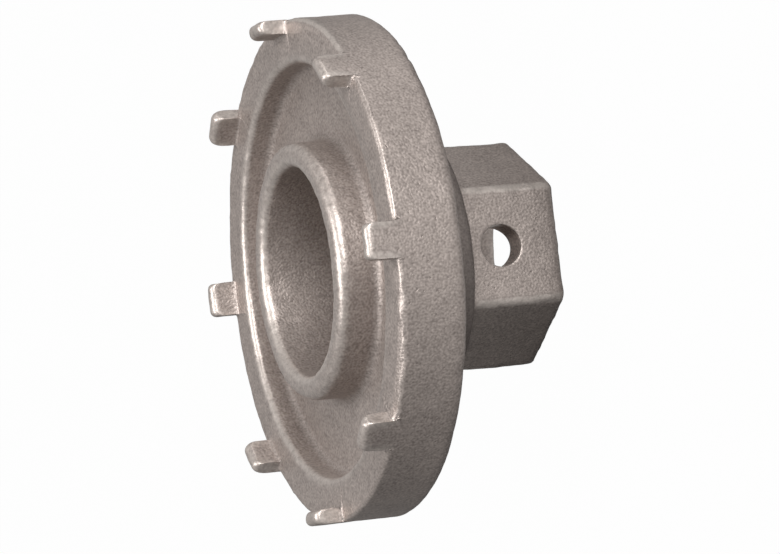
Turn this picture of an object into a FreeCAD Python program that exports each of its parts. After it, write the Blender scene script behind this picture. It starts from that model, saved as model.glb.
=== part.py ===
import FreeCAD, Part
import math
import os
import Sketcher

# Bottom bracket tool: one steel casting, standing on the open end of its hexagon, prongs up.
# The tool's axis is Z, and Z is 0 at the end face of the hexagon. X is the axis of the cross hole,
# which is also the middle of one hexagon flat and of one prong. Lengths are in millimetres.

doc = FreeCAD.newDocument("bottom_bracket_tool")
sheet = doc.addObject("Spreadsheet::Sheet", "sizes")

driving_sizes = [
    ("hexagon_flats", 24.0, "width of the hexagon across its flats"),
    ("hexagon_length", 12.5, "from the end face to the back of the hub"),
    ("hexagon_corner_round", 1.3, "round along the hexagon's six long edges"),
    ("hexagon_end_round", 0.8, "round of the end face's outer edge"),
    ("hexagon_foot_fillet", 0.5, "hollow between the hexagon and the hub"),
    ("drive_bore", 17.0, "diameter of the bore through the hexagon"),
    ("drive_bore_round", 0.5, "round at the open end of that bore"),
    ("cross_hole", 5.0, "diameter of the hole across the hexagon"),
    ("cross_hole_level", 7.5, "from the end face to the middle of the cross hole"),
    ("hub_step", 4.0, "from the hexagon's flats out to the round hub"),
    ("hub_length", 6.95, "from the hub's back to the disc's back"),
    ("hub_edge_round", 0.9, "round of the hub's back edge"),
    ("hub_foot_fillet", 1.5, "hollow between the hub and the disc's back"),
    ("disc_diameter", 60.5, "outside of the disc"),
    ("disc_width", 8.2, "length of the rim along the axis"),
    ("disc_back_round", 1.0, "round of the rim's back edge"),
    ("disc_front_round", 0.5, "round of the rim's front edge"),
    ("rim_wall", 5.4, "metal between the outside of the disc and the recess in its front"),
    ("recess_depth", 3.35, "from the rim's front face to the recess floor"),
    ("recess_lip_round", 0.8, "round of the recess's front edge"),
    ("recess_floor_fillet", 1.0, "hollow along the recess floor, at both walls"),
    ("collar_wall", 2.95, "metal between the wide bore and the outside of the collar"),
    ("collar_rise", 1.75, "from the rim's front face to the collar's top"),
    ("collar_round", 1.25, "round of the collar's outer edge"),
    ("collar_bore", 25.0, "diameter of the wide bore"),
    ("collar_bore_round", 1.0, "round of the wide bore's edge"),
    ("ledge_width", 3.5, "metal left between the wide bore's floor and the hub's back"),
    ("ledge_fillet", 0.8, "hollow around the wide bore's floor"),
    ("prong_count", 8, "prongs around the rim"),
    ("prong_width", 4.2, "across one prong, around the rim"),
    ("prong_height", 3.5, "from the rim's front face to the tips"),
    ("prong_thickness", 1.7, "through one prong, outward"),
    ("prong_corner_round", 0.7, "round of a tip's corners, seen from outside"),
    ("prong_tip_flat", 0.2, "flat left on a tip between its inner and outer round"),
    ("prong_foot_fillet", 0.3, "hollow at the inner foot of a prong"),
    ("prong_root", 1.0, "how far a prong runs down into the rim"),
    ("land_rise", 0.15, "height of the flat land between a prong and the recess"),
    ("land_margin", 0.25, "flat rim left between the land and the recess's rounded lip"),
]
for row, (word, value, meaning) in enumerate(driving_sizes, start=1):
    sheet.set("A%d" % row, word)
    sheet.set("B%d" % row, str(value))
    sheet.setAlias("B%d" % row, word)
    sheet.set("C%d" % row, meaning)

# Levels along the axis and other sizes that follow from the driving ones.
worked_out = [
    ("disc_back_level", "=hexagon_length + hub_length"),
    ("front_level", "=disc_back_level + disc_width"),
    ("recess_floor_level", "=front_level - recess_depth"),
    ("collar_top_level", "=front_level + collar_rise"),
    ("ledge_level", "=hexagon_length + ledge_width"),
    ("tip_level", "=front_level + prong_height"),
    ("land_level", "=front_level + land_rise"),
    ("prong_root_level", "=front_level - prong_root"),
    ("hub_diameter", "=hexagon_flats + 2 * hub_step"),
    ("recess_diameter", "=disc_diameter - 2 * rim_wall"),
    ("collar_diameter", "=collar_bore + 2 * collar_wall"),
    ("prong_inner_radius", "=disc_diameter / 2 - prong_thickness"),
    ("prong_tip_round", "=(prong_thickness - prong_tip_flat) / 2"),
    ("land_inner_radius", "=recess_diameter / 2 + recess_lip_round + land_margin"),
    ("trim_reach", "=prong_thickness / 2"),
    ("plate_inner_radius", "=prong_inner_radius - trim_reach / 2"),
]
for row, (word, formula) in enumerate(worked_out, start=len(driving_sizes) + 2):
    sheet.set("A%d" % row, word)
    sheet.set("B%d" % row, formula)
    sheet.setAlias("B%d" % row, word)
doc.recompute()


same_place = 1e-4  # two lengths this near are the same when an edge is looked for


def size(word):
    """The present value of one cell of the sheet."""
    return float(getattr(sheet, word))


body = doc.addObject("PartDesign::Body", "tool_body")
body.Label = "tool_body"


def origin_feature(role):
    """One of the body's own origin planes or axes, found by its role."""
    for feature in body.Origin.OriginFeatures:
        if feature.Role == role:
            return feature
    raise ValueError("no origin feature " + role)


def new_sketch(name, role):
    """An empty sketch on one of the body's origin planes."""
    sketch = body.newObject("Sketcher::SketchObject", name)
    sketch.AttachmentSupport = [(origin_feature(role), "")]
    sketch.MapMode = "FlatFace"
    return sketch


def bind(sketch, kind, places, word, formula):
    """Add one dimension to a sketch and tie it to the sheet."""
    number = sketch.addConstraint(Sketcher.Constraint(kind, *places))
    sketch.renameConstraint(number, word)
    sketch.setExpression("Constraints." + word, formula)


def closed_lines(sketch, corners):
    """Straight lines through the corners in order, joined end to end. Gives the lines' numbers."""
    lines = []
    for start, end in zip(corners, corners[1:] + corners[:1]):
        segment = Part.LineSegment(FreeCAD.Vector(*start, 0), FreeCAD.Vector(*end, 0))
        lines.append(sketch.addGeometry(segment, False))
    for line, following in zip(lines, lines[1:] + lines[:1]):
        sketch.addConstraint(Sketcher.Constraint("Coincident", line, 2, following, 1))
    return lines


def square_up(sketch, lines):
    """Hold each line level or upright, whichever it was drawn."""
    for line in lines:
        step = sketch.Geometry[line].EndPoint - sketch.Geometry[line].StartPoint
        kind = "Horizontal" if abs(step.y) < abs(step.x) else "Vertical"
        sketch.addConstraint(Sketcher.Constraint(kind, line))


def round_edges(name, word, chosen):
    """Round the edges that the test function chooses, by the sheet's radius."""
    doc.recompute()
    base = body.Tip
    edges = ["Edge%d" % n for n, edge in enumerate(base.Shape.Edges, start=1) if chosen(edge)]
    if not edges:
        raise ValueError("no edge to round for " + name)
    fillet = body.newObject("PartDesign::Fillet", name)
    fillet.Base = (base, edges)
    fillet.Radius = size(word)
    fillet.setExpression("Radius", "sizes." + word)
    return fillet


def ring(diameter, level):
    """A test for full circles around the axis with this diameter and level."""
    def chosen(edge):
        curve = edge.Curve
        return (isinstance(curve, Part.Circle)
                and abs(curve.Radius - diameter / 2) < same_place
                and abs(curve.Center.z - level) < same_place
                and math.hypot(curve.Center.x, curve.Center.y) < same_place)
    return chosen


def any_ring(*rings):
    """A test for edges that pass any of the given ring tests."""
    return lambda edge: any(test(edge) for test in rings)


# The round form: hub, disc, recess, collar and stepped bore are one section turned about the axis.
section = new_sketch("round_section", "XZ_Plane")
diameters = ["drive_bore", "hub_diameter", "disc_diameter", "recess_diameter", "collar_diameter",
             "collar_bore"]
half = {word: size(word) / 2 for word in diameters}
section_corners = [
    (half["drive_bore"], size("hexagon_length")),
    (half["hub_diameter"], size("hexagon_length")),
    (half["hub_diameter"], size("disc_back_level")),
    (half["disc_diameter"], size("disc_back_level")),
    (half["disc_diameter"], size("front_level")),
    (half["recess_diameter"], size("front_level")),
    (half["recess_diameter"], size("recess_floor_level")),
    (half["collar_diameter"], size("recess_floor_level")),
    (half["collar_diameter"], size("collar_top_level")),
    (half["collar_bore"], size("collar_top_level")),
    (half["collar_bore"], size("ledge_level")),
    (half["drive_bore"], size("ledge_level")),
]
lines = closed_lines(section, section_corners)
square_up(section, lines)
for word, upright in zip(diameters, (lines[11], lines[1], lines[3], lines[5], lines[7], lines[9])):
    bind(section, "DistanceX", (-1, 1, upright, 1, half[word]), word + "_half", "sizes.%s / 2" % word)
levels = ["hexagon_length", "disc_back_level", "front_level", "recess_floor_level", "collar_top_level",
          "ledge_level"]
for word, level_line in zip(levels, (lines[0], lines[2], lines[4], lines[6], lines[8], lines[10])):
    bind(section, "DistanceY", (-1, 1, level_line, 2, size(word)), word + "_height", "sizes." + word)
doc.recompute()

round_form = body.newObject("PartDesign::Revolution", "round_form")
round_form.Profile = section
round_form.ReferenceAxis = (section, ["V_Axis"])
round_form.Angle = 360
doc.recompute()

# Rounds and hollows of the round form.
round_edges("hub_back_edge", "hub_edge_round", ring(size("hub_diameter"), size("hexagon_length")))
round_edges("hub_foot", "hub_foot_fillet", ring(size("hub_diameter"), size("disc_back_level")))
round_edges("rim_back_edge", "disc_back_round", ring(size("disc_diameter"), size("disc_back_level")))
round_edges("rim_front_edge", "disc_front_round", ring(size("disc_diameter"), size("front_level")))
round_edges("recess_lip", "recess_lip_round", ring(size("recess_diameter"), size("front_level")))
round_edges("recess_floor_corners", "recess_floor_fillet",
            any_ring(ring(size("recess_diameter"), size("recess_floor_level")),
                     ring(size("collar_diameter"), size("recess_floor_level"))))
round_edges("collar_outer_edge", "collar_round", ring(size("collar_diameter"), size("collar_top_level")))
round_edges("collar_bore_edge", "collar_bore_round", ring(size("collar_bore"), size("collar_top_level")))
round_edges("ledge_corner", "ledge_fillet", ring(size("collar_bore"), size("ledge_level")))

# The hexagon: a sharp hexagon with the drive bore through it, padded from the end face to the hub.
outline = new_sketch("hexagon_outline", "XY_Plane")
centre = FreeCAD.Vector(0, 0, 0)
facing = FreeCAD.Vector(0, 0, 1)
corner_reach = size("hexagon_flats") / math.sqrt(3)
corner_angles = [math.radians(30 + 60 * k) for k in range(6)]
hexagon_corners = [(corner_reach * math.cos(a), corner_reach * math.sin(a)) for a in corner_angles]
sides = closed_lines(outline, hexagon_corners)
guide = outline.addGeometry(Part.Circle(centre, facing, corner_reach), True)
outline.addConstraint(Sketcher.Constraint("Coincident", guide, 3, -1, 1))
for side in sides:
    outline.addConstraint(Sketcher.Constraint("PointOnObject", side, 1, guide))
for side in sides[1:]:
    outline.addConstraint(Sketcher.Constraint("Equal", sides[0], side))
outline.addConstraint(Sketcher.Constraint("Vertical", sides[5]))
flat_reach = size("hexagon_flats") / 2
bind(outline, "DistanceX", (-1, 1, sides[5], 1, flat_reach), "flat_half", "sizes.hexagon_flats / 2")
bore_circle = outline.addGeometry(Part.Circle(centre, facing, size("drive_bore") / 2), False)
outline.addConstraint(Sketcher.Constraint("Coincident", bore_circle, 3, -1, 1))
bind(outline, "Diameter", (bore_circle, size("drive_bore")), "bore", "sizes.drive_bore")
doc.recompute()

hexagon = body.newObject("PartDesign::Pad", "hexagon")
hexagon.Profile = outline
hexagon.Length = size("hexagon_length")
hexagon.setExpression("Length", "sizes.hexagon_length")
doc.recompute()


def hexagon_long_edge(edge):
    """The hexagon's six edges along the axis."""
    middle = edge.CenterOfMass
    return (isinstance(edge.Curve, Part.Line) and edge.BoundBox.ZLength > size("hexagon_length") / 2
            and abs(math.hypot(middle.x, middle.y) - corner_reach) < same_place)


def hexagon_outline_at(level):
    """A test for the hexagon's outline at one level: straight or curved, outside the bore."""
    def chosen(edge):
        middle = edge.CenterOfMass
        reach = math.hypot(middle.x, middle.y)
        return (edge.BoundBox.ZLength < same_place and abs(middle.z - level) < same_place
                and flat_reach - same_place < reach < corner_reach + same_place)
    return chosen


round_edges("hexagon_corners", "hexagon_corner_round", hexagon_long_edge)
round_edges("hexagon_foot", "hexagon_foot_fillet", hexagon_outline_at(size("hexagon_length")))
round_edges("hexagon_end_edge", "hexagon_end_round", hexagon_outline_at(0.0))
bore_mouth = round_edges("bore_mouth", "drive_bore_round", ring(size("drive_bore"), 0.0))
doc.recompute()

# The cross hole goes through both walls of the hexagon, square to one pair of flats.
hole_sketch = new_sketch("cross_hole_circle", "YZ_Plane")
hole_level = size("cross_hole_level")
hole_circle = hole_sketch.addGeometry(
    Part.Circle(FreeCAD.Vector(0, hole_level, 0), facing, size("cross_hole") / 2), False)
hole_sketch.addConstraint(Sketcher.Constraint("PointOnObject", hole_circle, 3, -2))
bind(hole_sketch, "DistanceY", (-1, 1, hole_circle, 3, hole_level), "level", "sizes.cross_hole_level")
bind(hole_sketch, "Diameter", (hole_circle, size("cross_hole")), "bore", "sizes.cross_hole")
cross_hole = body.newObject("PartDesign::Pocket", "cross_hole")
cross_hole.Profile = hole_sketch
cross_hole.Type = "ThroughAll"
cross_hole.Midplane = True
volume_before = bore_mouth.Shape.Volume
doc.recompute()
print("cross hole removes", round(volume_before - cross_hole.Shape.Volume, 2), "mm3")



def line(sketch, start, end):
    """One straight line of a sketch."""
    return sketch.addGeometry(Part.LineSegment(FreeCAD.Vector(*start, 0), FreeCAD.Vector(*end, 0)), False)


def arc(sketch, middle, radius, first, last):
    """One arc of a sketch, from the first angle to the last, in degrees."""
    circle = Part.Circle(FreeCAD.Vector(*middle, 0), facing, radius)
    return sketch.addGeometry(Part.ArcOfCircle(circle, math.radians(first), math.radians(last)), False)


# One prong: a plate with round tip corners, drawn in the plane across the rim and padded outward past
# the rim. The trim after the pattern gives it its curved faces.
def upright_plate(name, top_level, corner_round):
    """A sketch of a plate of the prong's width, from the prong's root up to a level."""
    sketch = new_sketch(name, "YZ_Plane")
    wide = size("prong_width") / 2
    low = size("prong_root_level")
    high = size(top_level)
    if not corner_round:
        edges = closed_lines(sketch, [(-wide, low), (wide, low), (wide, high), (-wide, high)])
        square_up(sketch, edges[1:])
        bottom = edges[0]
        top_at = (edges[1], 2)
    else:
        bend = size(corner_round)
        bottom = line(sketch, (-wide, low), (wide, low))
        right = line(sketch, (wide, low), (wide, high - bend))
        right_arc = arc(sketch, (wide - bend, high - bend), bend, 0, 90)
        top = line(sketch, (wide - bend, high), (bend - wide, high))
        left_arc = arc(sketch, (bend - wide, high - bend), bend, 90, 180)
        left = line(sketch, (-wide, high - bend), (-wide, low))
        sketch.addConstraint([
            Sketcher.Constraint("Coincident", bottom, 2, right, 1),
            Sketcher.Constraint("Tangent", right, 2, right_arc, 1),
            Sketcher.Constraint("Tangent", right_arc, 2, top, 1),
            Sketcher.Constraint("Tangent", top, 2, left_arc, 1),
            Sketcher.Constraint("Tangent", left_arc, 2, left, 1),
            Sketcher.Constraint("Coincident", left, 2, bottom, 1),
            Sketcher.Constraint("Vertical", right),
            Sketcher.Constraint("Vertical", left),
            Sketcher.Constraint("Equal", right_arc, left_arc),
        ])
        bind(sketch, "Radius", (right_arc, bend), "corner", "sizes." + corner_round)
        top_at = (top, 1)
    sketch.addConstraint(Sketcher.Constraint("Symmetric", bottom, 1, bottom, 2, -2))
    bind(sketch, "DistanceX", (bottom, 1, bottom, 2, 2 * wide), "width", "sizes.prong_width")
    bind(sketch, "DistanceY", (-1, 1, bottom, 1, low), "root", "sizes.prong_root_level")
    bind(sketch, "DistanceY", (-1, 1, *top_at, high), "top", "sizes." + top_level)
    return sketch


def radial_pad(name, sketch, start_word, length_formula):
    """A pad outward along X from a radius of the sheet."""
    start = FreeCAD.Vector(0, 0, size(start_word))
    sketch.AttachmentOffset = FreeCAD.Placement(start, FreeCAD.Rotation())
    sketch.setExpression("AttachmentOffset.Base.z", "sizes." + start_word)
    pad = body.newObject("PartDesign::Pad", name)
    pad.Profile = sketch
    pad.setExpression("Length", length_formula)
    return pad


prong_face = upright_plate("prong_face", "tip_level", "prong_corner_round")
prong = radial_pad("prong", prong_face, "plate_inner_radius", "sizes.prong_thickness + sizes.trim_reach")

# The land: a low flat strip from the foot of the prong to the lip of the recess.
land_face = upright_plate("land_face", "land_level", None)
land_length = "sizes.prong_inner_radius - sizes.land_inner_radius"
land = radial_pad("land", land_face, "land_inner_radius", land_length)
doc.recompute()

prongs = body.newObject("PartDesign::PolarPattern", "prongs")
prongs.Originals = [prong, land]
prongs.Axis = (origin_feature("Z_Axis"), [""])
prongs.Angle = 360
prongs.Occurrences = int(size("prong_count"))
prongs.setExpression("Occurrences", "sizes.prong_count")
body.Tip = prongs
doc.recompute()

# The trim, turned about the axis: outside it leaves the rim's own cylinder and a rounded tip, and
# inside it leaves a curved inner face with a hollow at its foot.
trim = new_sketch("prong_trim", "XZ_Plane")
outer = size("disc_diameter") / 2
inner = size("prong_inner_radius")
tip = size("tip_level")
bend = size("prong_tip_round")
hollow = size("prong_foot_fillet")
land_top = size("land_level")
root = size("prong_root_level")
past = size("trim_reach")

outer_face = line(trim, (outer, root), (outer, tip - bend))
outer_bend = arc(trim, (outer - bend, tip - bend), bend, 0, 90)
outer_rise = line(trim, (outer - bend, tip), (outer - bend, tip + past))
outer_top = line(trim, (outer - bend, tip + past), (outer + past, tip + past))
outer_side = line(trim, (outer + past, tip + past), (outer + past, root))
outer_base = line(trim, (outer + past, root), (outer, root))
inner_face = line(trim, (inner, tip - bend), (inner, land_top + hollow))
inner_bend = arc(trim, (inner + bend, tip - bend), bend, 90, 180)
inner_rise = line(trim, (inner + bend, tip + past), (inner + bend, tip))
inner_top = line(trim, (inner - past, tip + past), (inner + bend, tip + past))
inner_side = line(trim, (inner - past, land_top), (inner - past, tip + past))
inner_base = line(trim, (inner - hollow, land_top), (inner - past, land_top))
foot_bend = arc(trim, (inner - hollow, land_top + hollow), hollow, 270, 360)
trim.addConstraint([
    Sketcher.Constraint("Tangent", outer_face, 2, outer_bend, 1),
    Sketcher.Constraint("Coincident", outer_bend, 2, outer_rise, 1),
    Sketcher.Constraint("Coincident", outer_rise, 2, outer_top, 1),
    Sketcher.Constraint("Coincident", outer_top, 2, outer_side, 1),
    Sketcher.Constraint("Coincident", outer_side, 2, outer_base, 1),
    Sketcher.Constraint("Coincident", outer_base, 2, outer_face, 1),
    Sketcher.Constraint("Tangent", inner_bend, 2, inner_face, 1),
    Sketcher.Constraint("Tangent", inner_face, 2, foot_bend, 2),
    Sketcher.Constraint("Tangent", foot_bend, 1, inner_base, 1),
    Sketcher.Constraint("Coincident", inner_base, 2, inner_side, 1),
    Sketcher.Constraint("Coincident", inner_side, 2, inner_top, 1),
    Sketcher.Constraint("Coincident", inner_top, 2, inner_rise, 1),
    Sketcher.Constraint("Coincident", inner_rise, 2, inner_bend, 1),
])
for upright in (outer_face, outer_rise, outer_side, inner_face, inner_rise, inner_side):
    trim.addConstraint(Sketcher.Constraint("Vertical", upright))
for level in (outer_top, outer_base, inner_top, inner_base):
    trim.addConstraint(Sketcher.Constraint("Horizontal", level))
# The tip's arcs end level with the tip, above their own middles.
trim.addConstraint(Sketcher.Constraint("Vertical", outer_bend, 3, outer_bend, 2))
trim.addConstraint(Sketcher.Constraint("Vertical", inner_bend, 3, inner_bend, 1))
bind(trim, "Radius", (outer_bend, bend), "outer_bend", "sizes.prong_tip_round")
bind(trim, "Radius", (inner_bend, bend), "inner_bend", "sizes.prong_tip_round")
bind(trim, "Radius", (foot_bend, hollow), "foot_bend", "sizes.prong_foot_fillet")
bind(trim, "DistanceX", (-1, 1, outer_face, 1, outer), "outer_radius", "sizes.disc_diameter / 2")
bind(trim, "DistanceX", (-1, 1, inner_face, 1, inner), "inner_radius", "sizes.prong_inner_radius")
bind(trim, "DistanceY", (-1, 1, outer_bend, 2, tip), "outer_tip", "sizes.tip_level")
bind(trim, "DistanceY", (-1, 1, inner_bend, 1, tip), "inner_tip", "sizes.tip_level")
bind(trim, "DistanceY", (-1, 1, outer_face, 1, root), "root", "sizes.prong_root_level")
bind(trim, "DistanceY", (-1, 1, inner_base, 1, land_top), "land_top", "sizes.land_level")
bind(trim, "DistanceX", (outer_face, 1, outer_side, 2, past), "outer_clear", "sizes.trim_reach")
bind(trim, "DistanceX", (inner_side, 1, inner_face, 2, past), "inner_clear", "sizes.trim_reach")
bind(trim, "DistanceY", (outer_rise, 1, outer_rise, 2, past), "outer_above", "sizes.trim_reach")
bind(trim, "DistanceY", (inner_rise, 2, inner_rise, 1, past), "inner_above", "sizes.trim_reach")
doc.recompute()

volume_before = prongs.Shape.Volume
prong_finish = body.newObject("PartDesign::Groove", "prong_finish")
prong_finish.Profile = trim
prong_finish.ReferenceAxis = (trim, ["V_Axis"])
prong_finish.Angle = 360
doc.recompute()
print("prong trim removes", round(volume_before - prong_finish.Shape.Volume, 2), "mm3")

for item in doc.Objects:
    if "Invalid" in item.State or "Error" in item.State:
        raise RuntimeError("failed: %s %s" % (item.Name, item.State))
shape = body.Shape
if shape.isNull() or not shape.isValid():
    raise RuntimeError("tool_body has no valid shape")
print("solids", len(shape.Solids), "faces", len(shape.Faces), "volume", round(shape.Volume, 1), "mm3")
print("box", shape.BoundBox)

os.makedirs("parts", exist_ok=True)
shape.exportStep("parts/%s.step" % body.Label)
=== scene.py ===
import math

import bpy
import numpy as np
from mathutils import Matrix, Vector


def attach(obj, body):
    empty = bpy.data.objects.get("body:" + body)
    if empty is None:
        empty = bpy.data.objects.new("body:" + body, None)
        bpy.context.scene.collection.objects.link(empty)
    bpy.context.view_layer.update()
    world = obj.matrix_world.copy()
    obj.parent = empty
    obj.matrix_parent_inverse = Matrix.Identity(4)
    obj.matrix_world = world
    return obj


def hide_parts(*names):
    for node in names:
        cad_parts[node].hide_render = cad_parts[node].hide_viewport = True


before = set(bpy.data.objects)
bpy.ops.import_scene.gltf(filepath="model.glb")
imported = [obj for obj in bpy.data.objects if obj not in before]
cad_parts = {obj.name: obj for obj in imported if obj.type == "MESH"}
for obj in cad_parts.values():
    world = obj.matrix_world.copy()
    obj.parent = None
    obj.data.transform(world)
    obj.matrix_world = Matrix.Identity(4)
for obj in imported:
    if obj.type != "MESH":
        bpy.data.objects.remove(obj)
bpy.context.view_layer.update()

# The tool's casting: hexagon, hub, disc, prongs, collar and both bores are one piece of steel, poured in
# a lost-wax mould and blasted with beads. Its skin is one closed net: each row is a ring about the
# tool's axis, and the rows follow one another round the tool's section.

# The casting's sizes in millimetres: radii, rounds, and levels above the hexagon's end face.
hexagon_flats = 24.0
hexagon_corner = 1.3
hexagon_end_round = 0.75
hexagon_foot = 0.5
hub_back = 12.5
hub_radius = 16.0
hub_edge = 0.9
hub_foot = 1.5
disc_back = 19.45
disc_radius = 30.25
disc_back_round = 1.0
front = 27.65
front_round = 0.5
recess_radius = 24.85
recess_floor = 24.3
lip_round = 0.8
floor_fillet = 1.0
collar_radius = 15.45
collar_top = 29.4
collar_round = 1.25
wide_radius = 12.5
wide_bore_round = 1.0
ledge = 16.0
ledge_fillet = 0.8
ledge_round = 0.4
drive_radius = 8.5
drive_bore_round = 0.5
prongs = 8
prong_half_width = 2.1
prong_height = 3.5
prong_inner = 28.55
prong_tip_round = 0.75
prong_corner = 0.7
prong_foot = 0.25
land_height = 0.06

# The same columns go round the hexagon, side by side, and round the rim, prong by prong.
columns_per_prong = 51
columns_per_side = 68
columns = prongs * columns_per_prong
column = np.arange(columns)


def hexagon_outline():
    """Points and outward normals of a hexagon with rounded corners, one pair a column, and whether each
    column is on a corner.

    On a flat: point = half_flats * n + y * t, with y growing evenly. On a corner: point = corner's
    middle + corner radius * n, with n turning evenly by 60 degrees."""
    flat_columns = 29
    half = hexagon_flats / 2
    sixth = math.pi / 3
    reach = (half - hexagon_corner) * math.tan(sixth / 2)
    place = column % columns_per_side
    side = column // columns_per_side
    past_corner = place > columns_per_side / 2
    knots = [0, flat_columns, columns_per_side - flat_columns, columns_per_side]
    along = np.interp(place, knots, [0, reach, reach, 0]) * np.where(past_corner, -1, 1)
    normal_angle = side * sixth + np.interp(place, knots, [0, 0, sixth, sixth])
    flat_angle = side * sixth + np.where(past_corner, sixth, 0)
    corner_angle = side * sixth + sixth / 2
    corner_distance = (half - hexagon_corner) / math.cos(sixth / 2)
    normal = np.column_stack([np.cos(normal_angle), np.sin(normal_angle)])
    flat_normal = np.column_stack([np.cos(flat_angle), np.sin(flat_angle)])
    flat_along = np.column_stack([-np.sin(flat_angle), np.cos(flat_angle)])
    flat_point = half * flat_normal + along[:, None] * flat_along
    corner_middle = corner_distance * np.column_stack([np.cos(corner_angle), np.sin(corner_angle)])
    corner_point = corner_middle + hexagon_corner * normal
    on_corner = (place > flat_columns) & (place < columns_per_side - flat_columns)
    return np.where(on_corner[:, None], corner_point, flat_point), normal, on_corner


hex_point, hex_normal, hex_on_corner = hexagon_outline()
hex_angle = np.unwrap(np.arctan2(hex_point[:, 1], hex_point[:, 0]))
hex_circle = np.column_stack([np.cos(hex_angle), np.sin(hex_angle)])
even_angle = 2 * math.pi * column / columns

# Along the rim the columns near a prong climb its side. from_prong counts columns from the nearest
# prong's middle: its flat top ends at top_end, its corner at corner_end, and so on.
from_prong = (column + columns_per_prong // 2) % columns_per_prong - columns_per_prong // 2
prong_angle = 2 * math.pi / prongs * np.round(even_angle / (2 * math.pi / prongs))
top_end, corner_end, side_end, foot_end = 3, 8, 12, 14
far = np.abs(from_prong).astype(float)
corner_turn = np.radians(np.interp(far, [top_end, corner_end], [90, 0]))
foot_turn = np.radians(np.interp(far, [side_end, foot_end], [0, 90]))
climb_y = np.select(
    [far <= top_end, far <= corner_end, far <= side_end],
    [far / top_end * (prong_half_width - prong_corner),
     prong_half_width - prong_corner + prong_corner * np.cos(corner_turn),
     prong_half_width],
    prong_half_width + prong_foot * (1 - np.cos(foot_turn)))
climb_height = np.select(
    [far <= top_end, far <= corner_end, far <= side_end, far < foot_end],
    [prong_height,
     prong_height - prong_corner + prong_corner * np.sin(corner_turn),
     np.interp(far, [corner_end, side_end], [prong_height - prong_corner, prong_foot]),
     prong_foot * (1 - np.sin(foot_turn))],
    0.0)


def prong_columns(radius):
    """Column angles at a radius: near a prong y = climb_y, so angle = asin(y / radius), and between
    prongs the angle grows evenly up to the middle of the gap."""
    near = np.arcsin(np.minimum(climb_y, prong_half_width + prong_foot) / radius)
    foot_angle = np.arcsin((prong_half_width + prong_foot) / radius)
    gap_share = (far - foot_end) / (columns_per_prong / 2 - foot_end)
    gap = foot_angle + (math.pi / prongs - foot_angle) * gap_share
    return prong_angle + np.sign(from_prong) * np.where(far <= foot_end, near, gap)


def line(start, end, steps):
    """Section points start + (end - start) * k / steps, without the last."""
    t = np.arange(steps)[:, None] / steps
    return np.array(start) * (1 - t) + np.array(end) * t


def bend(middle, radius, first, last, steps):
    """Section points middle + radius * (cos a, sin a), a from first to last degrees, without the last."""
    a = np.radians(first + (last - first) * np.arange(steps) / steps)
    return np.column_stack([middle[0] + radius * np.cos(a), middle[1] + radius * np.sin(a)])


net_rows = []
net_edge = []
row_names = {}


def add_rows(name, x, y, z, edge):
    """Put rows of points into the net. x, y and z are arrays of rows by columns. edge, a number or such
    an array, is 1 where the steel is rubbed bright, which on some edges is also a painted highlight, 0 on
    a plain face and -1 in a hollow darkened with painted shade."""
    row_names[name] = (sum(len(part) for part in net_rows), len(x))
    net_rows.append(np.stack(np.broadcast_arrays(x, y, z), axis=-1))
    net_edge.append(np.broadcast_to(edge, x.shape))


def round_rows(name, section, angles, edge=0.0):
    """Rows of circles about the axis: x = r cos(angle), y = r sin(angle), z as in the section."""
    radius = section[:, :1]
    add_rows(name, radius * np.cos(angles), radius * np.sin(angles),
             np.repeat(section[:, 1:], columns, axis=1), edge)


def flat_rows(name, start, end, level, steps):
    """Rows at one level from one outline towards another: point = start * (1 - t) + end * t."""
    t = (np.arange(steps) / steps)[:, None]
    add_rows(name, start[:, 0] * (1 - t) + end[:, 0] * t, start[:, 1] * (1 - t) + end[:, 1] * t,
             np.full((steps, columns), level), 0.0)


def hexagon_rows(name, inset, level, edge):
    """Rows of the hexagon's outline moved inwards: point - inset * normal."""
    inset = np.asarray(inset)[:, None]
    add_rows(name, hex_point[:, 0] - inset * hex_normal[:, 0], hex_point[:, 1] - inset * hex_normal[:, 1],
             np.repeat(np.asarray(level)[:, None], columns, axis=1), edge)


def blend_angles(first, last, steps, start=0.0, end=1.0):
    """Column angles that pass from one layout to the other, eased at both ends, one row a step."""
    t = np.linspace(start, end, steps, endpoint=False)[:, None]
    t = t * t * (3 - 2 * t)
    return first * (1 - t) + last * t


# The hexagon, from the round of its end up to its foot on the hub.
turn = np.radians(np.linspace(0, 90, 5))[:-1]
hexagon_rows("hexagon end edge", hexagon_end_round * (1 - np.sin(turn)),
             hexagon_end_round * (1 - np.cos(turn)), edge=1.0)
side = line((0, hexagon_end_round), (0, hub_back - hexagon_foot), 28)
hexagon_rows("hexagon side", side[:, 0], side[:, 1], edge=np.where(hex_on_corner, 1.0, 0.0))
turn = np.radians(np.linspace(0, 90, 4))[:-1]
hexagon_rows("hexagon foot", -hexagon_foot * (1 - np.cos(turn)),
             hub_back - hexagon_foot * (1 - np.sin(turn)), edge=-0.5)

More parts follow.
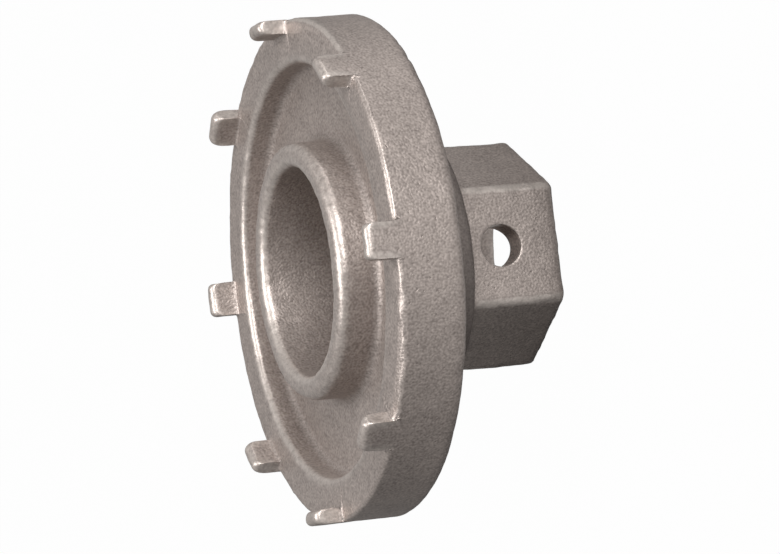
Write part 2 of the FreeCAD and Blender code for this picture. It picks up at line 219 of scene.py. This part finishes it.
# The hub, the disc's back and the plain part of its rim.
hub_rim = hub_radius - hub_edge
rim_start = front - front_round
flat_rows("hub back", hex_point + hexagon_foot * hex_normal, hub_rim * hex_circle, hub_back, 4)
# The hub's edge, side and foot are darkened by their negative edge values: painted shade under the disc's
# overhang.
round_rows("hub edge", bend((hub_rim, hub_back + hub_edge), hub_edge, -90, 0, 4), hex_angle, edge=-0.8)
round_rows("hub side", line((hub_radius, hub_back + hub_edge), (hub_radius, disc_back - hub_foot), 8),
           blend_angles(hex_angle, even_angle, 8), edge=-0.9)
round_rows("hub foot", bend((hub_radius + hub_foot, disc_back - hub_foot), hub_foot, 180, 90, 4),
           even_angle, edge=-1.0)
round_rows("disc back", line((hub_radius + hub_foot, disc_back),
                             (disc_radius - disc_back_round, disc_back), 14), even_angle)
# The disc's back edge is darkened a little: a painted shade line along it.
round_rows("disc back edge", bend((disc_radius - disc_back_round, disc_back + disc_back_round),
                                  disc_back_round, -90, 0, 5), even_angle, edge=-0.4)
round_rows("rim", line((disc_radius, disc_back + disc_back_round), (disc_radius, rim_start), 14),
           blend_angles(even_angle, prong_columns(disc_radius), 14, 0.0, 0.9))

# The rows over a prong go up its outer face, over its tip's outer round, once along the tip, over the
# inner round, down the inner face, round the foot and in along the land. The plain rim has as many.
face_rows, tip_round_rows, inner_rows, foot_rows, land_rows = 6, 4, 5, 2, 4
edge_end = face_rows + tip_round_rows
tip_end = edge_end + 1 + tip_round_rows
inner_end = tip_end + inner_rows


def prong_section(height, land):
    """The section over a prong of a given height and land, as radius and level, each of rows by columns.
    A round is radius * (1 - cos a, 1 - sin a) inside its corner, and the faces between are straight."""
    least_round = 0.02
    outer_round = np.minimum(front_round + (prong_tip_round - front_round) * height, prong_tip_round)
    inner_round = np.clip(height - prong_foot, least_round, prong_tip_round)
    foot = np.minimum(prong_foot, height)
    tip = front + height
    inner_top = tip - inner_round
    inner_low = np.minimum(front + land + foot, inner_top)
    radius, level = [], []

    def shares(count):
        return (np.arange(count) / count)[:, None]

    def put(r, z):
        radius.append(np.broadcast_to(r, z.shape))
        level.append(z)

    put(disc_radius, rim_start + (tip - outer_round - rim_start) * shares(face_rows))
    turn = math.pi / 2 * shares(tip_round_rows)
    put(disc_radius - outer_round * (1 - np.cos(turn)), tip - outer_round * (1 - np.sin(turn)))
    put(disc_radius - outer_round, tip[None, :])
    put(prong_inner + inner_round * (1 - np.sin(turn)), tip - inner_round * (1 - np.cos(turn)))
    put(prong_inner, inner_top + (inner_low - inner_top) * shares(inner_rows))
    turn = math.pi / 2 * shares(foot_rows)
    put(prong_inner - foot * (1 - np.cos(turn)), front + land + foot * (1 - np.sin(turn)))
    t = shares(land_rows)
    put((prong_inner - foot) * (1 - t) + (recess_radius + lip_round) * t, front + land + 0 * t)
    return np.vstack(radius), np.vstack(level)


def plain_rim_section():
    """The plain rim on as many rows: its front round, then the flat front, whose last rows are those of
    the land."""
    flat_count = inner_end + foot_rows - edge_end
    turn = np.radians(np.arange(edge_end) / edge_end * 90)
    edge = disc_radius - front_round
    inner = prong_inner - prong_foot
    lip = recess_radius + lip_round
    radius = np.concatenate([edge + front_round * np.cos(turn),
                             edge + (inner - edge) * np.arange(flat_count) / flat_count,
                             inner + (lip - inner) * np.arange(land_rows) / land_rows])
    level = np.concatenate([rim_start + front_round * np.sin(turn), np.full(flat_count + land_rows, front)])
    return radius[:, None], level[:, None]


# Over a prong the rows follow its section. At its foot they follow the plain rim's, lifted a little.
land_share = np.clip((side_end - far) / (side_end - corner_end), 0, 1)
over_radius, over_level = prong_section(climb_height, land_height * land_share)
plain_radius, plain_level = plain_rim_section()
foot_share = np.clip((plain_radius - prong_inner + prong_foot) / prong_foot, 0, 1)
rim_radius = np.where(far < side_end, over_radius, plain_radius)
rim_level = np.where(far < side_end, over_level, plain_level + climb_height * foot_share)

# The columns crowd towards each prong. They crowd a little less on the first row and along the land, so
# that no crease leads away from a prong.
first_crowding = 0.93
land_crowding = [0.95, 0.9, 0.87, 0.85]
lip_crowding = 0.85
crowding = np.ones((len(rim_radius), 1))
crowding[0] = first_crowding
crowding[-land_rows:, 0] = land_crowding
rim_angle = np.array([prong_columns(radius) for radius in rim_radius])
rim_angle = rim_angle * crowding + even_angle * (1 - crowding)

# The prongs' tips and corners are rubbed bright. So is the rim's front edge, most of all on one arc,
# whose middle and width are in degrees.
tip_wear = 0.85
rim_wear = 0.5
arc_wear = 0.6
arc_middle = 68
arc_width = 16
row_number = np.arange(len(rim_radius))[:, None]
on_tip = (row_number >= face_rows) & (row_number <= tip_end)
on_prong_corner = (far >= top_end) & (far <= corner_end) & (row_number < inner_end)
rubbed_arc = np.exp(-((np.degrees(even_angle) - arc_middle) / arc_width) ** 2)
rim_edge = np.where(far <= side_end, tip_wear * (on_tip | on_prong_corner),
                    (rim_wear + arc_wear * rubbed_arc) * (row_number < edge_end))
add_rows("rim front and prongs", rim_radius * np.cos(rim_angle), rim_radius * np.sin(rim_angle),
         rim_level, rim_edge)

# The recess, where the columns go back to even ones, and the collar.
lip_angle = lip_crowding * prong_columns(recess_radius + lip_round) + (1 - lip_crowding) * even_angle
# The high edge values on the lip and on the collar's edge and top brighten them: rubbed steel, and partly a
# painted highlight.
round_rows("recess lip", bend((recess_radius + lip_round, front - lip_round), lip_round, 90, 180, 6),
           blend_angles(lip_angle, even_angle, 6, 0.0, 0.3), edge=0.9)
round_rows("recess wall", line((recess_radius, front - lip_round),
                               (recess_radius, recess_floor + floor_fillet), 3),
           blend_angles(lip_angle, even_angle, 3, 0.3, 0.45))
round_rows("recess corner", bend((recess_radius - floor_fillet, recess_floor + floor_fillet), floor_fillet,
                                 0, -90, 4), blend_angles(lip_angle, even_angle, 4, 0.45, 0.6), edge=-0.2)
round_rows("recess floor", line((recess_radius - floor_fillet, recess_floor),
                                (collar_radius + floor_fillet, recess_floor), 14),
           blend_angles(lip_angle, even_angle, 14, 0.6, 1.0))
round_rows("collar foot", bend((collar_radius + floor_fillet, recess_floor + floor_fillet), floor_fillet,
                               -90, -180, 4), even_angle, edge=-0.2)
round_rows("collar side", line((collar_radius, recess_floor + floor_fillet),
                               (collar_radius, collar_top - collar_round), 6), even_angle)
round_rows("collar edge", bend((collar_radius - collar_round, collar_top - collar_round), collar_round,
                               0, 90, 6), even_angle, edge=0.7)
round_rows("collar top", line((collar_radius - collar_round, collar_top),
                              (wide_radius + wide_bore_round, collar_top), 2), even_angle, edge=0.4)

# The wide bore, its ledge, the drive bore and the hexagon's end face, which closes the net.
# The high edge value on the wide bore's edge brightens it: rubbed steel, and partly a painted highlight.
round_rows("wide bore edge", bend((wide_radius + wide_bore_round, collar_top - wide_bore_round),
                                  wide_bore_round, 90, 180, 7), even_angle, edge=0.9)
round_rows("wide bore", line((wide_radius, collar_top - wide_bore_round),
                             (wide_radius, ledge + ledge_fillet), 22),
           blend_angles(even_angle, hex_angle, 22))
round_rows("ledge corner", bend((wide_radius - ledge_fillet, ledge + ledge_fillet), ledge_fillet, 0, -90, 3),
           hex_angle, edge=-0.5)
round_rows("ledge", line((wide_radius - ledge_fillet, ledge), (drive_radius + ledge_round, ledge), 5),
           hex_angle)
round_rows("ledge edge", bend((drive_radius + ledge_round, ledge - ledge_round), ledge_round, 90, 180, 2),
           hex_angle, edge=1.0)
round_rows("drive bore", line((drive_radius, ledge - ledge_round), (drive_radius, drive_bore_round), 34),
           hex_angle)
round_rows("drive bore mouth", bend((drive_radius + drive_bore_round, drive_bore_round), drive_bore_round,
                                    180, 270, 3), hex_angle, edge=1.0)
flat_rows("end face", (drive_radius + drive_bore_round) * hex_circle,
          hex_point - hexagon_end_round * hex_normal, 0.0, 5)

net = np.concatenate(net_rows)
edge_net = np.concatenate(net_edge).astype(float)
rows = len(net)

# The cross hole goes through both walls of the hexagon. A block of the net is left out of the outer and
# the inner skin at each side, its border is drawn into a circle, and a short tube joins the two.
hole_radius = 2.5
hole_level = 7.5
hole_edge = 0.12
hole_wear = 0.6
half_rows, half_columns = 6, 11
hole_columns = (0, columns // 2)


def open_hole(first_row, middle_row, middle_column, outer_ratio, widening, upward):
    """Draw one skin's net round a block into a circle. upward is 1 where its rows climb, or else -1.

    With m = a point's square ring number (1 on the block's border), the point goes to
    circle(R) * (1 - w) + itself * w, R = edge's radius + widening * (m - 1), w eased from 0 at m = 1 to
    1 at m = outer_ratio. Gives the numbers of the border's points, in order round the hole."""
    reach_rows = math.ceil(half_rows * outer_ratio)
    reach_columns = math.ceil(half_columns * outer_ratio)
    i, j = np.meshgrid(np.arange(-reach_rows, reach_rows + 1),
                       np.arange(-reach_columns, reach_columns + 1), indexing="ij")
    up = i / half_rows * upward
    aside = j / half_columns
    m = np.maximum(np.abs(up), np.abs(aside))
    turn_aside = math.pi / 4 * up / np.where(aside == 0, 1, aside) + np.where(aside < 0, math.pi, 0)
    turn_up = math.pi / 2 - math.pi / 4 * aside / np.where(up == 0, 1, up) + np.where(up < 0, math.pi, 0)
    turn = np.where(np.abs(aside) >= np.abs(up), turn_aside, turn_up)
    w = np.clip((m - 1) / (outer_ratio - 1), 0, 1)
    w = w * w * (3 - 2 * w)
    ring = hole_radius + hole_edge + widening * (m - 1)
    at = (first_row + middle_row + i, (middle_column + j) % columns)
    here = net[at]
    facing = 1.0 if middle_column == 0 else -1.0
    on_flat = first_row == row_names["hexagon side"][0]
    y = (1 - w) * ring * np.cos(turn) * facing + w * here[..., 1]
    z = (1 - w) * (hole_level + ring * np.sin(turn)) + w * here[..., 2]
    x = facing * (hexagon_flats / 2 if on_flat else np.sqrt(drive_radius ** 2 - y ** 2))
    drawn = np.stack(np.broadcast_arrays(x, y, z), axis=-1)
    net[at] = np.where((m < outer_ratio)[..., None], drawn, here)
    edge_net[at] = np.maximum(edge_net[at], np.where(m <= 1, hole_wear, 0))
    low, high = -half_rows * upward, half_rows * upward
    bottom = [(low, k) for k in range(-half_columns, half_columns)]
    right = [(k * upward, half_columns) for k in range(-half_rows, half_rows)]
    top = [(high, k) for k in range(half_columns, -half_columns, -1)]
    left = [(k * upward, -half_columns) for k in range(half_rows, -half_rows, -1)]
    loop = np.array(bottom + right + top + left)
    return (first_row + middle_row + loop[:, 0]) * columns + (middle_column + loop[:, 1]) % columns


outer_first, outer_count = row_names["hexagon side"]
outer_share = (hole_level - hexagon_end_round) / (hub_back - hexagon_foot - hexagon_end_round)
outer_middle = round(outer_share * outer_count)
inner_first, inner_count = row_names["drive bore"]
inner_share = (ledge - ledge_round - hole_level) / (ledge - ledge_round - drive_bore_round)
inner_middle = round(inner_share * inner_count)
borders = []
for middle_column in hole_columns:
    outside = open_hole(outer_first, outer_middle, middle_column, outer_ratio=1.75, widening=1.5, upward=1)
    inside = open_hole(inner_first, inner_middle, middle_column, outer_ratio=2.4, widening=0.65, upward=-1)
    borders.append((outside, inside))

points = net.reshape(-1, 3)
edge_value = edge_net.reshape(-1)
row, col = np.meshgrid(np.arange(rows), np.arange(columns), indexing="ij")
next_row, next_col = (row + 1) % rows, (col + 1) % columns
quads = np.stack([row * columns + col, row * columns + next_col, next_row * columns + next_col,
                  next_row * columns + col], axis=-1)
open_cell = np.zeros((rows, columns), bool)
for middle_column in hole_columns:
    cells = np.arange(middle_column - half_columns, middle_column + half_columns) % columns
    for first, middle in ((outer_first, outer_middle), (inner_first, inner_middle)):
        open_cell[first + middle - half_rows:first + middle + half_rows, cells] = True
quads = quads[~open_cell]

# The tube's rings run from the outer border to the inner one, with a small round at each end. Each is
# given by its share of the way through the wall, and in mm how far in it is moved and how much it grows.
tube_rings = [(0, 0.04, 0.035), (0, hole_edge, 0), (0.25, 0.1, 0), (0.5, 0, 0), (0.75, -0.1, 0),
              (1, -hole_edge, 0), (1, -0.04, 0.035)]
extra_points, extra_edge, extra_quads = [], [], []
count = len(points)
for outside, inside in borders:
    start, end = points[outside], points[inside]
    away = start[:, 1:] - [0.0, hole_level]
    away = away / np.linalg.norm(away, axis=1)[:, None]
    facing = np.sign(start[0, 0])
    wall = np.abs(start[:, 0] - end[:, 0])
    rings = [outside]
    for share, moved, growth in tube_rings:
        x = start[:, 0] - facing * (share * wall + moved)
        yz = [0.0, hole_level] + away * (hole_radius + growth)
        extra_points.append(np.column_stack([x, yz]))
        extra_edge.append(np.full(len(x), 1.0 if growth or abs(moved) == hole_edge else 0.0))
        rings.append(count + np.arange(len(x)))
        count += len(x)
    rings.append(inside)
    for near, further in zip(rings, rings[1:]):
        extra_quads.append(np.stack([near, np.roll(near, -1), np.roll(further, -1), further], axis=-1))
points = np.vstack([points] + extra_points)
edge_value = np.concatenate([edge_value] + extra_edge)
tube_quads = np.vstack(extra_quads)


def directed_edges(faces):
    """Each face's four edges as start * size + end."""
    size = len(points)
    return np.concatenate([faces[:, k] * size + faces[:, (k + 1) % 4] for k in range(4)])


# A tube whose faces run the same way as the skin's turns its own round, so all faces look outwards.
tube_size = len(tube_quads) // len(hole_columns)
for k in range(len(hole_columns)):
    part = tube_quads[k * tube_size:(k + 1) * tube_size]
    if np.isin(directed_edges(part), directed_edges(quads)).any():
        tube_quads[k * tube_size:(k + 1) * tube_size] = part[:, ::-1]
quads = np.vstack([quads, tube_quads])
used = np.zeros(len(points), bool)
used[quads] = True
new_number = np.cumsum(used) - 1
points, edge_value, quads = points[used], edge_value[used], new_number[quads]


def face_vectors(faces):
    """Each face's area vector: half the cross product of its diagonals."""
    p = points[faces]
    return 0.5 * np.cross(p[:, 2] - p[:, 0], p[:, 3] - p[:, 1])


if np.einsum("ij,ij->", face_vectors(quads), points[quads].mean(axis=1)) < 0:
    quads = quads[:, ::-1]


def point_normals():
    """Each point's normal: the sum of its faces' area vectors, made one long."""
    vectors = face_vectors(quads)
    normals = np.zeros_like(points)
    for k in range(4):
        np.add.at(normals, quads[:, k], vectors)
    return normals / np.maximum(np.linalg.norm(normals, axis=1), 1e-12)[:, None]


def softened(value, times):
    """Each point's value becomes the mean over its faces of each face's own mean, a few times over."""
    shared = np.bincount(quads.ravel(), minlength=len(points))
    for _ in range(times):
        on_faces = np.repeat(value[quads].mean(axis=1), 4)
        value = np.bincount(quads.ravel(), on_faces, len(points)) / shared
    return value


def relief(wavelength, seed, waves=28):
    """Smooth random relief about 0: the sum of cos(k . point + phase) over random directions, with k
    about 2 pi / wavelength long, divided so that its usual size is 1."""
    rng = np.random.default_rng(seed)
    k = rng.normal(size=(waves, 3))
    k *= (2 * math.pi / wavelength * rng.uniform(0.7, 1.4, waves) / np.linalg.norm(k, axis=1))[:, None]
    return np.cos(points @ k.T + rng.uniform(0, 2 * math.pi, waves)).sum(axis=1) * math.sqrt(2 / waves)


def relief_sum(*layers):
    """The sum of a few reliefs, each given as its height, its wavelength and its seed."""
    return sum(height * relief(wavelength, seed) for height, wavelength, seed in layers)


def hump(value, width):
    """1 where the value is 0, falling to 0 on both sides: exp(-(value / width)^2)."""
    return np.exp(-(value / width) ** 2)


normals = np.column_stack([softened(part, 2) for part in point_normals().T])
normals /= np.maximum(np.linalg.norm(normals, axis=1), 1e-12)[:, None]
edge_value = softened(edge_value, 3)

# A casting is never quite true: long waves come from the wax and short ones from the mould's skin, and
# its edges wander as they wear.
mean_wear = 0.015
swell = relief_sum((0.022, 9.0, 3), (0.012, 3.2, 5), (0.007, 1.5, 8))
worn = np.clip(edge_value, 0, 1) * (mean_wear + relief_sum((0.018, 1.7, 13), (0.015, 4.5, 17)))

# The rim's front edge is ragged, most of all on two knocked stretches of it between the prongs, given
# by their middle and width in degrees and their strength. A burr runs along these.
edge_inset = 0.15
ragged_width = 0.45
ragged_depth = 0.03
calm_share = 0.25
burr_width = 0.75
knocked_stretches = [(-26, 17, 1.0), (69, 14, 0.6)]
prong_clearance = 2.5
clearance_fade = 0.9
prong_step = 360 / prongs
axis_distance = np.hypot(points[:, 0], points[:, 1])
from_front_edge = np.hypot(axis_distance - (disc_radius - edge_inset), points[:, 2] - (front - edge_inset))
ragged = hump(from_front_edge, ragged_width)
azimuth = np.degrees(np.arctan2(points[:, 1], points[:, 0]))
knocked = sum(strength * hump(azimuth - middle, width) for middle, width, strength in knocked_stretches)
beside_prong = np.abs(np.sin(np.radians(azimuth - prong_step * np.round(azimuth / prong_step)))) * disc_radius
knocked *= np.clip((beside_prong - prong_clearance) / clearance_fade, 0, 1)
burr = knocked * hump(from_front_edge, burr_width)
rough_share = calm_share + (1 - calm_share) * np.clip(knocked, 0, 1)
worn += ragged * (ragged_depth + rough_share * relief_sum((0.06, 1.3, 23), (0.04, 3.0, 29)))

# There the edge is also pressed down into an uneven bevel, as wide as stated and fading out at its reach
# below the front. The prongs, which rise above the front, are left as they are.
bevel_depth = 0.55
bevel_width = 1.05
bevel_reach = 1.25
bevel_fade = 0.7
front_margin = 0.02
on_bevel = np.clip((axis_distance - (disc_radius - bevel_width)) / bevel_width, 0, 1)
on_bevel *= np.clip((points[:, 2] - (front - bevel_reach)) / bevel_fade, 0, 1)
on_bevel *= points[:, 2] < front + front_margin
uneven = np.clip(0.9 + relief_sum((0.16, 1.9, 31), (0.2, 4.0, 37)), 0, 1.3)
bevel = bevel_depth * knocked * on_bevel * uneven

# Wear lifts no edge by more than proud_limit. The cross hole is truer than the rest of the casting, so
# little of the waves and the wear is left round it.
proud_limit = 0.02
hole_share = 0.3
hole_margin = 0.2
move = swell - np.maximum(worn, -proud_limit)
in_hole = np.hypot(points[:, 1], points[:, 2] - hole_level) < hole_radius + hole_margin
move = np.where(in_hole, hole_share * move, move)

# Single dents on the rim's back and front edges: azimuth in degrees, radius, level, size and depth.
dents = [
    (47, 30.0, 19.7, 0.55, 0.22), (40, 30.1, 19.9, 0.45, 0.18), (53, 30.0, 19.8, 0.4, 0.2),
    (14, 30.1, 20.0, 0.5, 0.12), (-31, 30.2, 19.9, 0.6, 0.16), (84, 30.0, 19.7, 0.5, 0.2),
    (150, 30.0, 19.8, 0.6, 0.2), (205, 30.1, 19.9, 0.5, 0.2), (262, 30.0, 19.7, 0.5, 0.15),
    (20, 30.2, 27.5, 0.4, 0.12), (67, 30.1, 27.4, 0.5, 0.14), (-20, 30.2, 27.4, 0.5, 0.12),
]
for direction, radius, level, size, depth in dents:
    turn = math.radians(direction)
    middle = [radius * math.cos(turn), radius * math.sin(turn), level]
    move -= depth * hump(np.linalg.norm(points - middle, axis=1), size)
points = points + normals * move[:, None]

# What was moved stays inside the tool's own box, but for a swell of the rim.
rim_swell = 0.05
points[:, 2] = np.clip(points[:, 2] - bevel, 0.0, front + prong_height)
reach = np.hypot(points[:, 0], points[:, 1])
points[:, :2] *= np.minimum(1, (disc_radius + rim_swell) / reach)[:, None]

millimetre = 0.001
ragged_burr = 0.4
mesh = bpy.data.meshes.new("tool_casting")
mesh.vertices.add(len(points))
mesh.vertices.foreach_set("co", (points * millimetre).ravel())
mesh.loops.add(quads.size)
mesh.loops.foreach_set("vertex_index", quads.ravel())
mesh.polygons.add(len(quads))
mesh.polygons.foreach_set("loop_start", np.arange(0, quads.size, 4))
mesh.polygons.foreach_set("use_smooth", np.ones(len(quads), bool))
mesh.update(calc_edges=True)
mesh.validate()
mesh.attributes.new("edge", "FLOAT", "POINT").data.foreach_set("value", edge_value)
mesh.attributes.new("burr", "FLOAT", "POINT").data.foreach_set("value", ragged_burr * ragged + burr)
casting = bpy.data.objects.new("tool_casting", mesh)
bpy.context.scene.collection.objects.link(casting)


class Wire:
    """An output socket. Arithmetic on it adds Math nodes to its material."""

    def __init__(self, graph, socket):
        self.graph = graph
        self.socket = socket

    def math(self, operation, *values, **settings):
        settings["operation"] = operation
        return self.graph.node("ShaderNodeMath", settings, dict(enumerate(values)))

    def __add__(self, other):
        return self.math("ADD", self, other)

    __radd__ = __add__

    def __mul__(self, other):
        return self.math("MULTIPLY", self, other)

    __rmul__ = __mul__

    def __sub__(self, other):
        return self.math("SUBTRACT", self, other)

    def __rsub__(self, other):
        return self.math("SUBTRACT", other, self)

    def clip(self):
        """The value, held between 0 and 1."""
        return self.math("ADD", self, 0.0, use_clamp=True)

    def between(self, low, high):
        """0 below low, 1 above high, and eased between them."""
        return self.graph.node("ShaderNodeMapRange", {"interpolation_type": "SMOOTHSTEP"},
                               {"Value": self, "From Min": low, "From Max": high})


class Graph:
    """The node tree of one material."""

    def __init__(self, name):
        self.material = bpy.data.materials.new(name)
        self.material.use_nodes = True
        self.tree = self.material.node_tree
        self.tree.nodes.clear()

    def node(self, kind, settings=None, sockets=None, output=0):
        """Add a node: its settings first, then values or wires on its sockets. Gives one output."""
        item = self.tree.nodes.new(kind)
        for word, value in (settings or {}).items():
            setattr(item, word, value)
        for word, value in (sockets or {}).items():
            if isinstance(value, Wire):
                self.tree.links.new(value.socket, item.inputs[word])
            else:
                item.inputs[word].default_value = value
        return Wire(self, item.outputs[output] if item.outputs else None)

    def noise(self, at, scale, detail, roughness=0.5):
        """Noise of a size: scale is in waves a metre."""
        return self.node("ShaderNodeTexNoise", None, {"Vector": at, "Scale": scale, "Detail": detail,
                                                      "Roughness": roughness})

    def mix(self, factor, first, second):
        """One colour passing into another."""
        return self.node("ShaderNodeMix", {"data_type": "RGBA"}, {"Factor": factor, 6: first, 7: second}, 2)


def cast_steel():
    """Bare cast steel blasted with beads: a fine grain of about a quarter of a millimetre, small pits,
    cloudy patches, bright metal where hands and boxes have rubbed the edges, which on the recess's lip,
    the collar and the wide bore's edge is also a painted highlight, and a dark colour in the hollows that
    is painted shade, deepest under the disc's overhang."""
    dark_steel = (0.24, 0.203, 0.185, 1)
    pale_steel = (0.50, 0.432, 0.395, 1)
    rubbed_steel_and_highlight = (0.66, 0.60, 0.55, 1)
    hollow_shade_colour = (0.09, 0.076, 0.07, 1)
    graph = Graph("cast_steel")
    at = graph.node("ShaderNodeTexCoord", None, None, 3)
    edge = graph.node("ShaderNodeAttribute", {"attribute_name": "edge"}, None, 2)
    burr = graph.node("ShaderNodeAttribute", {"attribute_name": "burr"}, None, 2)
    grain = graph.noise(at, 3600, 0)
    coarse = graph.noise(at, 1500, 2)
    cloud = graph.noise(at, 260, 4, 0.6)
    broad = graph.noise(at, 60, 3)
    chips = graph.noise(at, 900, 2)
    pits = 1 - graph.noise(at, 1900, 1, 0.3).between(0.22, 0.28)
    # The bright colour on rubbed edges is worn steel, and on the lip, the collar and the wide bore's edge
    # partly a painted highlight. The dark colour in the hollows is painted shade.
    rub_and_highlight = (edge.clip() * (0.3 + 1.4 * coarse)).between(0.3, 1.1)
    rubbed_flat = (edge * 1.6).clip()
    painted_hollow_shade = (edge * -1.0).clip()
    tone = (0.5 + 0.4 * (cloud - 0.5) + 0.3 * (broad - 0.5) + 1.2 * (grain - 0.5) + 0.3 * (coarse - 0.5)
            - 0.4 * pits).clip()
    dull = graph.mix(tone, dark_steel, pale_steel)
    worn_and_highlight_colour = graph.mix(rub_and_highlight * 0.5, dull, rubbed_steel_and_highlight)
    colour = graph.mix(painted_hollow_shade * 0.8, worn_and_highlight_colour, hollow_shade_colour)
    rough = (0.48 - 0.08 * rubbed_flat + 0.2 * painted_hollow_shade + 0.1 * (coarse - 0.5)).clip()
    height = (grain + coarse * 0.6 - pits * 0.5) * (1 - 0.6 * rubbed_flat) + burr * chips * 2.0
    bump = graph.node("ShaderNodeBump", None, {"Strength": 1.0, "Distance": 0.00004, "Height": height})
    shader = graph.node("ShaderNodeBsdfPrincipled", None, {
        "Base Color": colour, "Roughness": rough, "Metallic": 0.6, "Normal": bump})
    graph.node("ShaderNodeOutputMaterial", None, {"Surface": shader})
    return graph.material


mesh.materials.append(cast_steel())
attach(casting, "root")
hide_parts("tool_body")

# The floor: a wide pale sheet just under the end face of the hexagon. The camera sees it white, with
# only a trace of the tool's shadow.
floor_half = 3.0
floor_level = -0.00002
floor_signs = ((-1, -1), (1, -1), (1, 1), (-1, 1))
floor_corners = [(x * floor_half, y * floor_half, floor_level) for x, y in floor_signs]
floor_mesh = bpy.data.meshes.new("floor")
floor_mesh.from_pydata(floor_corners, [], [(0, 1, 2, 3)])
floor = bpy.data.objects.new("floor", floor_mesh)
bpy.context.scene.collection.objects.link(floor)


def pale_floor():
    """Pale paint that the lamps shade, seen white by the camera. In reflections it glows white under the
    bore, in a patch beside the tool and in one in front of the hexagon, and is grey elsewhere: the glowing
    patches are painted light, which put painted highlights on the tool."""
    graph = Graph("pale_floor")
    camera_ray = graph.node("ShaderNodeLightPath", None, None, 0)
    glossy_ray = graph.node("ShaderNodeLightPath", None, None, 3)
    paint = graph.node("ShaderNodeBsdfDiffuse", None, {"Color": (0.25, 0.25, 0.25, 1)})
    white = graph.node("ShaderNodeEmission", None, {"Color": (1, 1, 1, 1), "Strength": 1.0})
    place = graph.node("ShaderNodeTexCoord", None, None, 3)

    def measured(direction):
        """How far a place on the floor lies along a direction, in metres: their dot product."""
        return graph.node("ShaderNodeVectorMath", {"operation": "DOT_PRODUCT"}, {0: place, 1: direction}, 1)

    from_axis = graph.node("ShaderNodeVectorMath", {"operation": "LENGTH"}, {0: place}, 1)
    glow_under_bore = 1 - from_axis.between(0.008, 0.012)
    along = measured((0.2, 0.98, 0))
    across = measured((0.98, -0.2, 0))
    side_glow_patch = along.between(0.04, 0.06) * across.between(-0.02, 0.0) * (1 - across.between(0.022, 0.045))
    front_glow_patch = across.between(0.014, 0.022) * along.between(-0.03, -0.01) * (1 - along.between(0.02, 0.04))
    # The floor glows white in reflections only over these patches and under the bore: painted reflections of
    # light that no lamp gives.
    reflected_glow = 0.05 + 0.8 * glow_under_bore + 0.9 * side_glow_patch + 0.6 * front_glow_patch
    shown = (camera_ray * 0.985 + glossy_ray * reflected_glow).clip()
    surface = graph.node("ShaderNodeMixShader", None, {0: shown, 1: paint, 2: white})
    graph.node("ShaderNodeOutputMaterial", None, {"Surface": surface})
    return graph.material


floor_mesh.materials.append(pale_floor())

# The light: a world that is white to the camera, pale grey in the metal's reflections and almost dark
# otherwise, and three plain soft boxes.
ambient_strength = 0.02
reflected_white = 0.38
world = bpy.data.worlds.new("soft_tent")
bpy.context.scene.world = world
world.use_nodes = True
tree = world.node_tree
tree.nodes.clear()
output = tree.nodes.new("ShaderNodeOutputWorld")
ambient = tree.nodes.new("ShaderNodeBackground")
ambient.inputs["Color"].default_value = (1, 1, 1, 1)
ambient.inputs["Strength"].default_value = ambient_strength
white = tree.nodes.new("ShaderNodeBackground")
white.inputs["Color"].default_value = (1, 1, 1, 1)
white.inputs["Strength"].default_value = 1.0
choose = tree.nodes.new("ShaderNodeMixShader")
ray = tree.nodes.new("ShaderNodeLightPath")
shown = tree.nodes.new("ShaderNodeMath")
shown.operation = "MULTIPLY_ADD"
shown.inputs[1].default_value = reflected_white
tree.links.new(ray.outputs["Is Glossy Ray"], shown.inputs[0])
tree.links.new(ray.outputs["Is Camera Ray"], shown.inputs[2])
tree.links.new(shown.outputs[0], choose.inputs[0])
tree.links.new(ambient.outputs[0], choose.inputs[1])
tree.links.new(white.outputs[0], choose.inputs[2])
tree.links.new(choose.outputs[0], output.inputs["Surface"])

tool_middle = Vector((0, 0, 0.018))


def soft_box(name, azimuth, elevation, distance, width, height, watts):
    """A lamp of a width and height at a distance from the tool, in a direction given in degrees, turned
    to face it."""
    lamp = bpy.data.lights.new(name, "AREA")
    lamp.shape = "RECTANGLE"
    lamp.size = width
    lamp.size_y = height
    lamp.energy = watts
    holder = bpy.data.objects.new(name, lamp)
    turn, rise = math.radians(azimuth), math.radians(elevation)
    direction = Vector((math.cos(rise) * math.cos(turn), math.cos(rise) * math.sin(turn), math.sin(rise)))
    holder.location = tool_middle + direction * distance
    holder.rotation_mode = "QUATERNION"
    holder.rotation_quaternion = direction.to_track_quat("Z", "Y")
    bpy.context.scene.collection.objects.link(holder)


soft_box("key", azimuth=26, elevation=18, distance=0.8, width=0.5, height=0.3, watts=6.0)
soft_box("low_strip", azimuth=80, elevation=3, distance=0.4, width=0.16, height=0.05, watts=0.16)
soft_box("overhead", azimuth=10, elevation=77, distance=0.6, width=0.45, height=0.35, watts=3.4)

# The camera: the place and turn that the photograph's outlines give, as a long lens from the side.
photo_width = 780
focal_pixels = 3411.2
camera_data = bpy.data.cameras.new("camera")
camera_data.sensor_width = 36.0
camera_data.lens = camera_data.sensor_width * focal_pixels / photo_width
camera_data.clip_start = 0.01
camera_data.clip_end = 20.0
camera = bpy.data.objects.new("camera", camera_data)
right = Vector((0.3406, -0.1180, -0.9328)).normalized()
down = Vector((-0.1168, -0.9897, 0.0825)).normalized()
forward = right.cross(down).normalized()
down = forward.cross(right).normalized()
place = Vector((0.3836, -0.0348, 0.1617))
camera.matrix_world = Matrix((
    (right.x, -down.x, -forward.x, place.x),
    (right.y, -down.y, -forward.y, place.y),
    (right.z, -down.z, -forward.z, place.z),
    (0, 0, 0, 1)))
bpy.context.scene.collection.objects.link(camera)
bpy.context.scene.camera = camera
bpy.context.scene.view_settings.view_transform = "Standard"
